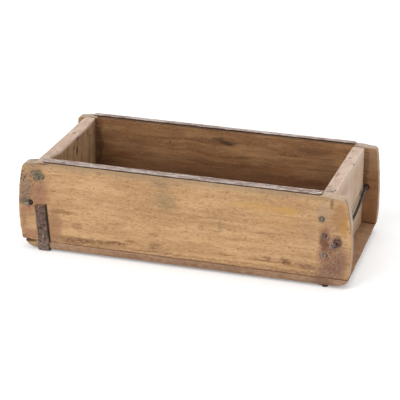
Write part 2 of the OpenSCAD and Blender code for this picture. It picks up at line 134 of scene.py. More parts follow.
class Finish:
    """A material and the nodes that make it."""

    def __init__(self, name):
        self.material = bpy.data.materials.new(name)
        self.material.use_nodes = True
        self.tree = self.material.node_tree
        self.tree.nodes.clear()
        self.begin()

    def begin(self):
        """Finds the place and the facing that the looks are drawn by."""
        metres = self.add("ShaderNodeTexCoord", {}, {}, "Object")
        self.place = self.vector("MULTIPLY", metres, (1 / MM, 1 / MM, 1 / MM))
        self.x, self.y, self.z = self.split(self.place)
        facing = self.add("ShaderNodeTexCoord", {}, {}, "Normal")
        self.facing_x, self.facing_y, self.facing_z = self.split(facing)

    def add(self, kind, settings, values, output=0):
        """Adds a node: its settings first, then the values or links of its sockets."""
        node = self.tree.nodes.new(kind)
        for key, setting in settings.items():
            setattr(node, key, setting)
        for key, value in values.items():
            if isinstance(value, Wire):
                self.tree.links.new(value.socket, node.inputs[key])
            else:
                node.inputs[key].default_value = value
        return Wire(self, node.outputs[output]) if node.outputs else None

    def maths(self, operation, a, b):
        return self.add("ShaderNodeMath", {"operation": operation}, {0: a, 1: b})

    def vector(self, operation, a, b):
        return self.add("ShaderNodeVectorMath", {"operation": operation}, {0: a, 1: b})

    def length(self, a):
        return self.add("ShaderNodeVectorMath", {"operation": "LENGTH"}, {0: a}, "Value")

    def split(self, a):
        return [self.add("ShaderNodeSeparateXYZ", {}, {"Vector": a}, axis) for axis in "XYZ"]

    def cloud(self, place, size, shift=0.0, detail=4, roughness=0.6):
        """Noise with features of about this size along x, y and z. Each shift is other noise."""
        scaled = self.vector("DIVIDE", place, size)
        moved = self.vector("ADD", scaled, (shift, shift * 1.7, shift * 2.3))
        return self.add(
            "ShaderNodeTexNoise", {},
            {"Vector": moved, "Scale": 1.0, "Detail": detail, "Roughness": roughness},
            "Fac",
        )

    def drift(self, place, size, reach, shift):
        """The place moved about by up to half of reach, in millimetres."""
        scaled = self.vector("DIVIDE", place, (size, size, size))
        moved = self.vector("ADD", scaled, (shift, shift, shift))
        noise = self.add(
            "ShaderNodeTexNoise", {}, {"Vector": moved, "Scale": 1.0, "Detail": 2.0}, "Color"
        )
        centred = self.vector("SUBTRACT", noise, (0.5, 0.5, 0.5))
        return self.vector("ADD", place, self.vector("MULTIPLY", centred, reach))

    def between(self, value, low, high):
        """0 at low and 1 at high, eased, and the same beyond them."""
        return self.add(
            "ShaderNodeMapRange", {"interpolation_type": "SMOOTHSTEP"},
            {"Value": value, "From Min": low, "From Max": high},
        )

    def blend(self, under, over, mask):
        """The colour over, laid on the colour under as far as the mask goes."""
        under, over = (tone(c) if isinstance(c, str) else c for c in (under, over))
        return self.add(
            "ShaderNodeMix", {"data_type": "RGBA"}, {0: mask, 6: under, 7: over}, 2
        )

    def patch(self, place, centre, reach, core=0.35):
        """A soft spot: 1 within the core's share of its reach, and 0 beyond its reach."""
        away = self.vector("DIVIDE", self.vector("SUBTRACT", place, centre), reach)
        return self.between(self.length(away), 1.0, core)

    def rubbed(self):
        """How far the arris under a point was rubbed down when the piece was carved."""
        return self.add("ShaderNodeAttribute", {"attribute_name": "rubbed"}, {}, "Fac")

    def surface(self, colour, height, roughness, depth, metallic=0.0):
        """Ends the material. Depth is the relief in millimetres that a height of 1 stands for."""
        normal = self.add(
            "ShaderNodeBump", {}, {"Strength": 1.0, "Distance": depth * MM, "Height": height}
        )
        shader = self.add(
            "ShaderNodeBsdfPrincipled", {},
            {"Base Color": colour, "Roughness": roughness, "Metallic": metallic,
             "Specular IOR Level": SHINE, "Normal": normal},
        )
        self.add("ShaderNodeOutputMaterial", {}, {"Surface": shader})
        return self.material


def size_along(run, length, width):
    """The size of a feature that is drawn out along one axis."""
    return tuple(length if axis == run else width for axis in "xyz")


def beyond(f, near, far):
    """0 up to near from the middle in x and 1 from far on, towards both ends."""
    return f.between(f.x * f.x, near ** 2, far ** 2)


def timber(f, run, pale, mid, deep, shift, bands, flecks):
    """Old sawn softwood with its grain along run: its colour, and its relief from 0 to 1."""
    place = f.drift(f.place, 55, size_along(run, 0, 9), shift=shift)
    broad = f.cloud(place, size_along(run, 60, 9), shift)
    colour = f.blend(mid, pale, f.between(broad, 0.38, 0.66))
    rings = f.cloud(place, size_along(run, 110, 3.2), shift + 3, detail=3, roughness=0.5)
    colour = f.blend(colour, deep, bands * f.between(rings, 0.5, 0.72))
    streaks = f.cloud(place, size_along(run, 9, 1.8), shift + 5, detail=5, roughness=0.65)
    colour = f.blend(colour, deep, 0.65 * flecks * f.between(streaks, 0.48, 0.74))
    torn = f.drift(f.place, 2.5, (2.5, 2.5, 2.5), shift=shift + 2)
    dark = f.cloud(torn, size_along(run, 3.6, 1.3), shift + 9, roughness=0.65)
    dark = f.between(dark, 0.5, 0.72)
    colour = f.blend(colour, deep, 0.8 * flecks * dark)
    light = f.cloud(torn, size_along(run, 3.6, 1.4), shift + 14, roughness=0.65)
    light = f.between(light, 0.5, 0.7)
    colour = f.blend(colour, pale, flecks * light)
    relief = 0.5 * streaks + 0.25 * light - 0.4 * dark + 0.3 * rings + 0.2
    return colour, relief


def paint(f, colour, place, y, stains, core=0.35, share=1.0):
    """Lays a table of stains on the face at y, as far as the share goes."""
    for x, z, wide, high, strength, code in stains:
        mask = f.patch(place, (x, y, z), (wide, STAIN_DEPTH, high), core=core)
        colour = f.blend(colour, code, strength * mask * share)
    return colour


def unleaned(f):
    """x, as if the broken leg of the left strap stood upright on its foot."""
    return f.x + STRAP_LEAN * (f.z - STRAP_FOOT)


def worn_ends(f, colour, tip, top, shift, rear):
    """Pale end grain at the ears' tips, behind y = rear, and pale wood on their worn tops."""
    grain = f.cloud(f.place, (3, 1.2, 1.2), shift, detail=3)
    shade = f.between(grain, 0.35, 0.65)
    sideways = f.between(f.facing_x * f.facing_x, 0.3, 0.7)
    at_tip = sideways * beyond(f, 142.8, 144) * f.between(f.y, rear - 2, rear)
    colour = f.blend(colour, f.blend(tip[0], tip[1], shade), 0.9 * at_tip)
    upwards = f.between(f.facing_z, 0.45, 0.8)
    at_top = upwards * beyond(f, 125, 127) * f.between(f.z, 70, 74)
    return f.blend(colour, f.blend(top[0], top[1], shade), 0.9 * at_top)


# Every table of stains below lists x, z, reach in x and reach in z, in millimetres, and then
# strength and tone. A stain reaches this far into the wood:
STAIN_DEPTH = 6

# Lighter and darker wood on the front board's face
FACE_STAINS = (
    (97, 68, 14, 5, 0.5, "d3a252"),
    (68, 68, 34, 5, 0.45, "d3a45c"),
    (86, 58, 30, 12, 0.25, "c99a5e"),
    (-14, 63, 13, 12, 0.5, "978261"),
    (-18, 78, 12, 5, 0.3, "8a7c6a"),
    (-30, 10.8, 60, 1.3, 0.5, "d3ad88"),
    (70, 12, 30, 1.4, 0.45, "d6ae84"),
    (-80, 55, 16, 4, 0.25, "b07f62"),
    (-98, 28, 9, 4.5, 0.5, "9c6851"),
    (-60, 45, 30, 3, 0.3, "dcb182"),
    (20, 30, 60, 5, 0.25, "dcb07c"),
    (36, 46, 3, 9, 0.45, "8d7c57"),
    (142, 66, 10, 20, 0.6, "a0734a"),
    (147, 60, 4, 14, 0.6, "b9893f"),
    (129, 70, 9, 12, 0.55, "b1957c"),
    (116, 50, 9, 20, 0.35, "b08a68"),
)

# Streaks of dirt on that face, through which the wood shows
FACE_DIRT = (
    (-84, 14.6, 44, 3.8, 0.75, "71492f"),
    (-102, 13.4, 22, 5, 0.6, "694330"),
    (-62, 16.5, 18, 2.2, 0.7, "62422c"),
    (-47, 19.5, 9, 1.8, 0.6, "6b4a2e"),
    (-24, 18.5, 9, 5, 0.6, "6e5436"),
    (-25, 29, 8, 3.5, 0.4, "7f6340"),
    (-20, 12.5, 44, 1.8, 0.55, "75502f"),
    (-76, 81, 6, 2.4, 0.6, "85644a"),
    (-18, 78, 9, 2.6, 0.5, "87705a"),
    (19, 42, 2.6, 3.8, 0.6, "8a6650"),
    (30, 40.5, 16, 1, 0.4, "8b6a46"),
    (90, 45, 14, 0.9, 0.4, "8b6a46"),
    (40, 19, 14, 1.1, 0.55, "77522f"),
    (80, 21, 7, 3, 0.7, "7a5138"),
    (96, 20, 8, 5, 0.8, "6b4531"),
    (88, 17.8, 26, 1.8, 0.7, "744b33"),
    (114, 17.5, 13, 4.4, 0.75, "785542"),
    (68, 18, 14, 1.8, 0.55, "77522f"),
    (-106, 40, 16, 2.4, 0.45, "8c6a3a"),
    (50, 13, 60, 1.4, 0.4, "7a5535"),
    (104, 11.5, 40, 2, 0.5, "75503c"),
)

# Rust and grey dirt from the left strap, the nails above it and the rod's hole
LEFT_EAR_STAINS = (
    (-136, 60, 16, 32, 0.6, "96694f"),
    (-133, 57, 5, 12, 0.5, "a8755f"),
    (-150, 70, 5, 6, 0.5, "5c463a"),
    (-149, 75, 4, 0.9, 0.8, "3f2d23"),
    (-146, 78, 9, 4, 0.35, "8d7458"),
    (-149, 52, 5, 9, 0.4, "6d5a4a"),
    (-119, 24, 9, 26, 0.55, "966850"),
    (-112, 40, 16, 2.6, 0.5, "8a6539"),
    (-147, 40, 9, 30, 0.35, "a3755a"),
    (-147, 60, 9, 18, 0.55, "84705d"),
    (-146, 39, 7, 3.5, 0.55, "ab7460"),
    (-141, 27, 7, 9, 0.4, "cea476"),
    (-149, 30, 4, 16, 0.4, "9a7050"),
    (-141, 34, 7, 3, 0.4, "8f6a4a"),
    (-142, 16, 12, 6, 0.55, "a06c58"),
    (-148, 11.5, 6, 4, 0.5, "805844"),
    (-134.5, 73, 9, 7.5, 0.9, "706856"),
    (-146, 46.5, 8, 5, 0.85, "6a6052"),
    (-143, 84, 13, 3, 0.7, "8d8471"),
    (-130, 85, 9, 2.4, 0.7, "4e3a2d"),
    (-130, 50, 8, 5, 0.5, "a97660"),
)

# The print of the lost right strap, with rust round its nails and the rod's head
RIGHT_EAR_STAINS = (
    (141, 27, 17, 26, 0.65, "8d6451"),
    (144, 25, 8, 12, 0.35, "6f4c40"),
    (131, 36, 10, 40, 0.5, "966a52"),
    (136, 13, 19, 13, 0.55, "7d5c4e"),
    (130, 43, 6.5, 15, 0.8, "6b4236"),
    (141.2, 44.3, 6, 7, 0.9, "492426"),
    (137, 38, 5, 5, 0.5, "6d4a42"),
    (136, 41, 3, 7, 0.6, "a98578"),
    (126.9, 63.8, 5.5, 5.5, 0.5, "8f7662"),
    (130.7, 30, 5, 5, 0.6, "94796a"),
    (135.5, 78.5, 2.6, 6.5, 0.6, "76543a"),
)


def dirty_face(f, colour, place, broken):
    """The front board's face in the tones that use and clay have given it."""
    # The band under the wear strip is greyer, and old clay has darkened the lower edge
    colour = f.blend(colour, "a28a6e", 0.6 * f.between(f.z, 77, 84))
    colour = f.blend(colour, "8d6444", 0.55 * f.between(f.z, 14.5, 10) * broken)
    colour = paint(f, colour, place, FRONT_FACE, FACE_STAINS)
    return paint(f, colour, place, FRONT_FACE, FACE_DIRT, core=0.2, share=0.35 + 0.65 * broken)


def strap_shadow_line(f, colour):
    """The black line of painted shadow along the left strap's right edge, which leans with it."""
    lean = unleaned(f)
    line = f.between(lean, -122.9, -123.6) * f.between(lean, -126, -125) * f.between(f.z, 47, 45)
    return f.blend(colour, "2a1c15", 0.8 * line)


def nail_rings(f, colour, broken):
    """Clean rings round the right nails' heads, and a dark line close to each head."""
    for x, z in RIGHT_NAILS:
        ring = f.patch(f.place, (x, FRONT_FACE, z), (3.9, 9, 3.9), core=0.85)
        colour = f.blend(colour, "b79b84", 0.3 * ring * broken)
        ring = f.patch(f.place, (x, FRONT_FACE, z), (2.9, 9, 2.9), core=0.85)
        colour = f.blend(colour, "5f4a3b", 0.6 * ring)
    return colour


def front_board_ends(f, colour, place, broken):
    """The worn tips and tops of the front board's ears."""
    colour = worn_ends(f, colour, ("cbb09c", "dcc6b6"), ("a99580", "c6ae97"), shift=3, rear=-66)
    dirty = f.between(f.x, -134, -142) * f.between(f.facing_z, 0.4, 0.8) * f.between(f.z, 70, 74)
    colour = f.blend(colour, "85796a", 0.6 * dirty * broken)
    chip = f.patch(place, (-139, -62, 86), (4, 4, 6), core=0.3)
    colour = f.blend(colour, "53433a", 0.7 * chip)
    # Low on the right tip only its front is pale, and higher up a dark line runs along it
    at_right = f.between(f.facing_x, 0.3, 0.6)
    behind = f.between(f.y, -64.5, -63) * f.between(f.z, 58, 48) * at_right
    colour = f.blend(colour, "8f7053", 0.7 * behind)
    dark_line = f.between(f.y, -69, -68) * f.between(f.y, -65.5, -66.5) * f.between(f.z, 50, 60)
    return f.blend(colour, "8a6a5a", 0.6 * dark_line * at_right)


def front_board_wood():
    """Yellow wood with dark streaks low down, and rust and grit at both ears."""
    f = Finish("front board wood")
    colour, relief = timber(f, "x", "d8ae80", "c1976c", "86603f", shift=1.0, bands=0.26, flecks=0.8)
    place = f.drift(f.place, 7, (7, 0, 4.5), shift=2)
    fine = f.cloud(f.place, (3.4, 3, 1.6), 8)
    broken = f.between(fine, 0.34, 0.56)
    colour = dirty_face(f, colour, place, broken)
    colour = paint(f, colour, place, FRONT_FACE, LEFT_EAR_STAINS)
    colour = strap_shadow_line(f, colour)
    colour = paint(f, colour, place, FRONT_FACE, RIGHT_EAR_STAINS)
    left = f.patch(place, (-141, FRONT_FACE, 62), (15, STAIN_DEPTH, 27), core=0.4)
    right = f.patch(place, (134, FRONT_FACE, 32), (17, STAIN_DEPTH, 38), core=0.4)
    specks = f.between(f.cloud(f.place, (1.5, 1.4, 1.2), 21, roughness=0.65), 0.55, 0.65)
    colour = f.blend(colour, "c8b9a6", 0.5 * specks * left)
    colour = f.blend(colour, "c9b2a2", 0.6 * f.between(fine, 0.38, 0.5) * specks * right)
    grit = f.between(f.cloud(f.place, (2.2, 1.8, 1.8), 33, roughness=0.7), 0.52, 0.64)
    colour = f.blend(colour, "4b382a", 0.8 * grit * left)
    colour = f.blend(colour, "4f322a", 0.6 * grit * right)
    colour = nail_rings(f, colour, broken)
    colour = front_board_ends(f, colour, place, broken)
    return f.surface(colour, relief - 0.3 * grit * (left + right), roughness=0.78, depth=0.35)


# Stains on the back board's inner face, and on its ears, with painted shade by both end boards
BACK_STAINS = (
    (-5, 76, 8, 3.5, 0.7, "4b3d31"),
    (4, 72.5, 11, 3, 0.8, "3d3024"),
    (86, 74, 22, 5, 0.45, "5c4636"),
    (-52, 68, 2.4, 2.4, 0.6, "4a3524"),
    (-112, 72, 12, 12, 0.4, "6a4f38"),
    (-70, 76, 30, 7, 0.35, "b48a5e"),
    (30, 66, 26, 10, 0.3, "b48a62"),
    (100, 60, 16, 14, 0.35, "67503d"),
    (60, 52, 20, 5, 0.35, "a0744c"),
    (-20, 58, 30, 4, 0.3, "a87a50"),
    (-88, 62, 20, 8, 0.4, "6f4d34"),
    (-60, 57, 12, 8, 0.3, "a37c50"),
    (-100, 50, 14, 5, 0.45, "6e3f26"),
    (40, 52, 40, 4, 0.4, "6e4224"),
    (-40, 47, 22, 4, 0.35, "703f24"),
    (85, 42, 20, 4, 0.4, "5d3420"),
    # Painted shade in the left inside corner, along the dark joint
    (-123, 60, 4, 40, 0.45, "4a3020"),
    # Painted shadow of the right end board on the back board's right ear
    (137, 62, 4, 40, 0.5, "5f412d"),
    (143, 26, 8, 16, 0.35, "8f5636"),
    (137, 43, 5, 5, 0.55, "4f3329"),
    (-144, 76, 8, 16, 0.7, "b09370"),
    (142, 72, 9, 16, 0.45, "8f7c66"),
)


def back_board_wood():
    """Brown wood, with painted shade that deepens towards the floor of the cavity."""
    f = Finish("back board wood")
    colour, relief = timber(f, "x", "b68d63", "946b48", "5b3d27", shift=12.0, bands=0.6, flecks=0.6)
    place = f.drift(f.place, 12, (12, 0, 6), shift=4)
    inside = f.between(f.y, BACK_INSIDE + 2, BACK_INSIDE + 1)
    # Painted shade, deeper towards the floor of the cavity
    cavity = inside * f.between(f.x, RIGHT_OUTSIDE, RIGHT_OUTSIDE - 2)
    colour = f.blend(colour, "4e2f19", 0.75 * cavity * f.between(f.z, 76, 34))
    colour = paint(f, colour, place, BACK_INSIDE, BACK_STAINS)
    # Painted shade under the wear strip, and a pale rim where there is none
    ends = beyond(f, 125.2, 126.6)
    colour = f.blend(colour, "432f21", 0.75 * f.between(f.z, 83.7, 84.5) * (1 - ends))
    colour = f.blend(colour, "bba796", 0.8 * f.between(f.z, 82.6, 83.8) * ends)
    hole = f.patch(f.place, (138.65, BACK_INSIDE, 45.3), (4.2, 4, 4.2), core=0.6)
    colour = f.blend(colour, "5c4438", 0.7 * hole)
    ear = f.between(f.x, 139, 142) * inside
    colour = f.blend(colour, "a3764f", 0.3 * ear)
    colour = f.blend(colour, "8d5531", 0.25 * ear * f.between(f.z, 50, 20))
    colour = worn_ends(f, colour, ("b0967f", "c9b19c"), ("a48f7d", "bda999"), shift=13, rear=60)
    return f.surface(colour, relief, roughness=0.8, depth=0.35)


def end_board_wood(name, face, shade, deep, shift, bands, pits):
    """Grain upright, and a pale weathered top. Pits list x, y, reach, strength and tone."""
    f = Finish(name)
    colour, relief = timber(f, "z", face, shade, deep, shift=shift, bands=bands, flecks=bands)
    place = f.drift(f.place, 8, (3, 3, 3), shift=shift)
    uneven = 0.25 * f.cloud(f.place, (4, 4, 4), shift, detail=2, roughness=0.5)
    top = f.between(f.facing_z + uneven, 0.5, 0.85)
    rings = f.cloud(f.drift(f.place, 30, (6, 10, 0), shift=shift), (1.6, 16, 9), shift)
    weathered = f.blend("c9af9d", "b89d89", f.between(rings, 0.42, 0.62))
    flakes = f.between(f.cloud(place, (8, 12, 9)), 0.42, 0.62)
    weathered = f.blend(weathered, "d1bbac", 0.7 * flakes)
    cracks = f.between(f.cloud(f.place, (1.1, 13, 9), shift + 7, detail=3), 0.62, 0.7)
    weathered = f.blend(weathered, "7d6250", 0.7 * cracks)
    specks = f.between(f.cloud(f.place, (1.7, 1.7, 1.7), shift + 2, detail=3), 0.62, 0.7)
    weathered = f.blend(weathered, "8d6f60", 0.6 * specks)
    colour = f.blend(colour, weathered, 0.95 * top)
    chips = f.between(f.cloud(f.place, (5, 3.2, 5), shift + 4, roughness=0.65), 0.55, 0.62)
    near = f.between(f.y, -40, -56)
    colour = f.blend(colour, "75604f", 0.55 * chips * top * (0.25 + 0.75 * near))
    for x, y, reach, strength, code in pits:
        pit = f.patch(place, (x, y, END_TOP), (reach, reach * 0.8, 3), core=0.2)
        colour = f.blend(colour, code, strength * pit)
    return f, colour, relief - 0.5 * cracks * top


def left_end_board_wood():
    """Brown wood inside, with a slit and chips, a pale arris along the cavity, and painted shade in
    its back corner.
    """
    f, colour, relief = end_board_wood(
        "left end board wood", "bf9f78", "a48361", "573f2c", shift=23.0, bands=0.7, pits=(
            (-131.5, 16.5, 2.8, 0.85, "4f392b"),
            (-134, -4, 2, 0.5, "7b6453"),
            (-129, -36, 2.4, 0.5, "7b6453"),
            (-131, 42, 9, 0.4, "bf9f93"),
            (-134, -30, 6, 0.5, "b0938a"),
            (-133, -44, 9, 0.7, "ada292"),
            (-136, -56, 7, 0.7, "9c9183"),
        ),
    )
    place = f.drift(f.place, 6, (2, 2, 3), shift=1)
    slit = f.patch(place, (LEFT_INSIDE, 10, 68.5), (4, 2.4, 6), core=0.45)
    colour = f.blend(colour, "1b110b", 0.95 * slit)
    # The arris along the cavity is rubbed pale over its edge, and is brown at the near end
    inside = f.between(f.x, LEFT_INSIDE - 1.5, LEFT_INSIDE - 0.5)
    over = inside * f.between(f.z, 80, 81.8) * f.between(f.y, -46, -30) * f.between(f.y, 60, 36)
    colour = f.blend(colour, "ecd6c5", 0.85 * over)
    brown = f.patch(place, (LEFT_INSIDE - 1, -54, END_TOP), (4.5, 16, 5), core=0.3)
    colour = f.blend(colour, "8f7157", 0.7 * brown)
    # Painted shade in the corner against the back board
    corner = f.between(f.y, 54, 60) * inside
    colour = f.blend(colour, "4d3020", 0.6 * corner)
    lit = f.patch(place, (LEFT_INSIDE, 30, 66), (4, 22, 18), core=0.2)
    colour = f.blend(colour, "cda981", 0.25 * lit)
    for y, z, wide, high in ((39, 77, 2, 5), (44, 72, 5, 1.5), (12, 80, 7, 2.5), (2, 74, 4, 3)):
        chip = f.patch(place, (LEFT_INSIDE, y, z), (4, wide, high), core=0.2)
        colour = f.blend(colour, "3f2d20", 0.6 * chip)
    return f.surface(colour, relief, roughness=0.82, depth=0.35)


def right_end_board_wood():
    """Pale wood, warmer in places, with painted light behind the front ear, a painted shadow of the
    rod, and splits drawn on its top.
    """
    f, colour, relief = end_board_wood(
        "right end board wood", "dcc2ab", "d5baa2", "9a7c62", shift=31.0, bands=0.12, pits=(
            (128.5, 32, 2.8, 0.75, "5b4434"),
            (128, -12, 2.4, 0.6, "7d6350"),
            (126, -44, 3.2, 0.55, "7d6350"),
            (130, -52, 9, 0.6, "9f9484"),
            (132, -55, 5, 0.7, "857b6b"),
        ),
    )
    place = f.drift(f.place, 9, (2, 6, 5), shift=6)
    outside = f.between(f.x, RIGHT_OUTSIDE - 3, RIGHT_OUTSIDE - 1)
    colour = f.blend(colour, "bb9168", 0.6 * f.between(f.z, 32, 18) * outside)
    warm = f.cloud(place, (9, 20, 26), 3, roughness=0.65)
    colour = f.blend(colour, "c49a78", 0.5 * f.between(warm, 0.45, 0.65) * outside)
    colour = f.blend(colour, "c9bcae", 0.5 * f.between(warm, 0.45, 0.35) * outside)
    # Painted light on the outer face behind the front ear, where the ear shades it
    pale = f.patch(place, (RIGHT_OUTSIDE, -22, 50), (5, 40, 24), core=0.3)
    colour = f.blend(colour, "eddbcc", 0.6 * pale)
    lip = f.between(f.z, 72, 82) * outside
    colour = f.blend(colour, "e6cfbc", 0.6 * lip)
    rust = f.patch(place, (RIGHT_OUTSIDE, 54, 42), (5, 9, 4), core=0.2)
    colour = f.blend(colour, "7a5646", 0.6 * rust)
    # Painted shadow of the right rod, a thin dark line along it
    line = f.patch(place, (RIGHT_OUTSIDE, 10, 44), (3, 60, 0.8), core=0.3)
    colour = f.blend(colour, "8d6a50", 0.5 * line)
    uneven = f.drift(f.place, 4, (0, 2, 0), shift=5)
    for x, y, wide, deep in (
        (126.5, -55, 4, 1), (131.5, -54.4, 3.5, 1.1), (133.5, -50, 1.3, 3), (135, 18, 1.6, 2),
    ):
        split = f.patch(uneven, (x, y, END_TOP - 0.5), (wide, deep, 3), core=0.45)
        colour = f.blend(colour, "4a372b", 0.75 * split)
    return f.surface(colour, relief, roughness=0.82, depth=0.3)


def bottom_board_wood():
    """Darker wood, rubbed pale along its lower arrises."""
    f = Finish("bottom board wood")
    colour, relief = timber(
        f, "x", "bc9878", "a88467", "735343", shift=41.0, bands=0.35, flecks=0.6
    )
    place = f.drift(f.place, 8, (7, 4, 3), shift=3)
    fine = f.between(f.cloud(f.place, (6, 5, 2), 12), 0.4, 0.62)
    colour = f.blend(colour, "8c6a57", 0.4 * fine)
    colour = f.blend(colour, "c29a62", 0.6 * f.patch(place, (-142, -71, 7), (10, 12, 3)))
    rust = f.patch(place, (130, -71, 5), (14, 14, 9), core=0.3)
    colour = f.blend(colour, "7b5447", 0.55 * rust)
    rim = f.between(f.x, -139, -144) * f.between(f.z, 6.5, 4.5)
    colour = f.blend(colour, "a3937f", 0.6 * rim)
    shadow = f.patch(place, (-143, -71, 8.8), (9, 14, 1.5), core=0.5)
    colour = f.blend(colour, "3f2c1f", 0.8 * shadow)
    streak = f.patch(place, (20, -71, 5), (120, 4, 1.6), core=0.2)
    colour = f.blend(colour, "7c5c4a", 0.6 * streak * fine)
    above = f.between(f.facing_z, 0.5, 0.9)
    clay = above * f.between(f.x, -140, -120) * f.between(f.x, 137, 120)
    colour = f.blend(colour, "7c5c42", 0.4 * clay)
    colour = f.blend(colour, "8a6238", 0.3 * above * f.between(f.x, 134, 137))
    # The lower arrises, and the left one most of all
    rubbed = f.rubbed()
    colour = f.blend(colour, "c2a590", 0.4 * f.between(rubbed, 0.25, 0.8))
    grey = f.between(rubbed, 0.05, 0.35) * f.between(f.x, -137, -139) * f.between(f.z, 8, 6)
    colour = f.blend(colour, "8e806c", 0.8 * grey)
    return f.surface(colour, relief, roughness=0.82, depth=0.4)


def wear_strip_iron():
    """Hoop iron worn smooth by the strike, pinkish grey, with painted shade on its sides."""
    f = Finish("wear strip iron")
    place = f.place
    broad = f.cloud(place, (26, 8, 8), 2)
    colour = f.blend("866c60", "b0a097", f.between(broad, 0.4, 0.6))
    mottle = f.cloud(place, (6, 2.6, 2.6), 6, roughness=0.65)
    colour = f.blend(colour, "785d51", 0.65 * f.between(mottle, 0.48, 0.62))
    spots = f.between(f.cloud(place, (2.2, 1.5, 1.5), 11, detail=3), 0.58, 0.66)
    colour = f.blend(colour, "47342c", 0.9 * spots)
    scratches = f.between(f.cloud(place, (10, 0.9, 0.9), 15, detail=3), 0.52, 0.62)
    colour = f.blend(colour, "d6ccc6", 0.8 * scratches)
    # Painted shade on the strip's sides
    side = f.between(f.facing_z, 0.75, 0.35)
    colour = f.blend(colour, "41332d", 0.9 * side)
    height = 0.6 * mottle - 0.3 * spots + 0.3
    return f.surface(colour, height, roughness=0.55, depth=0.12, metallic=0.3)


def rusted_iron(name, face, rust, dark, pale, size, shift):
    """Hoop iron or rod, browned all over, with scale, pits and pale worn specks."""
    f = Finish(name)
    place = f.place
    broad = f.cloud(place, (9 * size,) * 3, shift)
    colour = f.blend(face, rust, f.between(broad, 0.42, 0.62))
    mottle = f.cloud(place, (3 * size,) * 3, shift + 3, detail=5, roughness=0.68)
    colour = f.blend(colour, dark, 0.8 * f.between(mottle, 0.48, 0.6))
    flakes = f.between(f.cloud(place, (2 * size,) * 3, shift + 8, roughness=0.65), 0.54, 0.64)
    colour = f.blend(colour, pale, 0.7 * flakes)
    rub = f.between(f.rubbed(), 0.3, 0.9)
    colour = f.blend(colour, pale, 0.3 * rub)
    height = 0.7 * mottle + 0.3 * flakes
    return f, colour, height


def strap_iron():
    """Rusted hoop iron, with painted shade on its edges and a worn foot on the front face."""
    f, colour, height = rusted_iron(
        "strap iron", "715b52", "6a4d40", "402d29", "988a80", size=1.0, shift=4.0
    )
    # Painted shade on the strap's side faces
    side = f.between(f.facing_x * f.facing_x, 0.3, 0.7)
    colour = f.blend(colour, "1d1613", 0.85 * side)
    # Painted shadow along the broken leg's right edge
    in_front = f.between(f.y, -70, -70.4)
    line = f.between(unleaned(f), -125.4, -124.5) * in_front
    colour = f.blend(colour, "241a16", 0.7 * line)
    foot = f.between(f.z, 16, 6) * in_front
    worn = f.between(f.cloud(f.place, (1.6, 1.6, 1.6), 31, roughness=0.65), 0.44, 0.6)
    colour = f.blend(colour, "a59688", 0.6 * foot * worn)
    return f.surface(colour, height, roughness=0.68, depth=0.3, metallic=0.15)


def handle_iron():
    """Black, with a painted reflection of the pale floor on its outer, lower part, and grey at its
    ends.
    """
    f, colour, height = rusted_iron(
        "handle iron", "302927", "3b2b24", "1c1614", "6f6660", size=0.8, shift=9.0
    )
    at_left = f.between(f.x, 10, -10)
    # A painted reflection of the pale floor on the outer, lower part of each rod
    outwards = f.facing_x * f.between(f.x, -10, 10) - f.facing_x * at_left
    rubbed = f.between(outwards - f.facing_z, 0.5, 1.1) * f.between(f.y, -62, -50)
    colour = f.blend(colour, "c2b5aa", 0.8 * rubbed * f.between(f.y, 60, 50))
    colour = f.blend(colour, "705549", 0.5 * f.between(f.y, 50, 60))
    head = f.between(f.y, -70, -71.5)
    specks = f.between(f.cloud(f.place, (1.2, 1.2, 1.2), 6, detail=3), 0.52, 0.62)
    grey = f.blend("563f3b", "cbb6ab", 0.85 * specks)
    colour = f.blend(colour, grey, 0.8 * head)
    # At the left the rod's end is bent over, dark at the bend and grey along its tail
    colour = f.blend(colour, "2c211d", 0.8 * head * at_left)
    tail = head * f.between(f.x, -142, -143)
    colour = f.blend(colour, f.blend("887d6a", "b3aa9a", 0.7 * specks), 0.9 * tail)
    return f.surface(colour, height, roughness=0.65, depth=0.3)


def nail_iron():
    """Heads that are worn grey in the middle and rusted round their rims."""
    f = Finish("nail iron")
    mottle = f.cloud(f.place, (1.6, 1.6, 1.6), 15, roughness=0.65)
    colour = f.blend("8b7d6d", "6a5a4b", f.between(mottle, 0.42, 0.6))
    flakes = f.between(f.cloud(f.place, (1.3, 1.3, 1.3), 19, roughness=0.65), 0.52, 0.6)
    colour = f.blend(colour, "b9afa4", 0.65 * flakes)
    pits = f.between(f.cloud(f.place, (1.5, 1.5, 1.5), 27, roughness=0.65), 0.54, 0.62)
    colour = f.blend(colour, "4b3d33", 0.7 * pits)
    flat = f.facing_y * f.facing_y + f.facing_z * f.facing_z * f.facing_z * f.facing_z
    colour = f.blend("4a3a30", colour, f.between(flat, 0.45, 0.8))
    # On the front board the pair at the left is grey, and the middle one at the right is red
    in_front = f.between(f.y, -60, -66)
    pair = f.between(f.x, -120, -125) * f.between(f.z, 60, 66) * in_front
    colour = f.blend(colour, "6f6958", 0.7 * pair)
    middle = f.between(f.x, 120, 125) * f.between(f.z, 58, 54) * in_front * f.between(f.z, 37, 41)
    colour = f.blend(colour, "6f4740", 0.65 * middle)
    return f.surface(colour, mottle, roughness=0.65, depth=0.2, metallic=0.2)


def deselect():
    bpy.ops.object.select_all(action="DESELECT")


def take(piece):
    """Selects one piece, and makes it the active one."""
    deselect()
    piece.select_set(True)
    bpy.context.view_layer.objects.active = piece


def points(piece):
    """The places of a mesh's vertices."""
    co = np.empty(len(piece.data.vertices) * 3)
    piece.data.vertices.foreach_get("co", co)
    return co.reshape(-1, 3)


def mark(piece, where):
    """Puts the points whose places the function picks in a group, and gives its name."""
    if where is None:
        return ""
    group = piece.vertex_groups.new(name="picked")
    group.add([i for i, p in enumerate(points(piece)) if where(*p)], 1.0, "REPLACE")
    return group.name


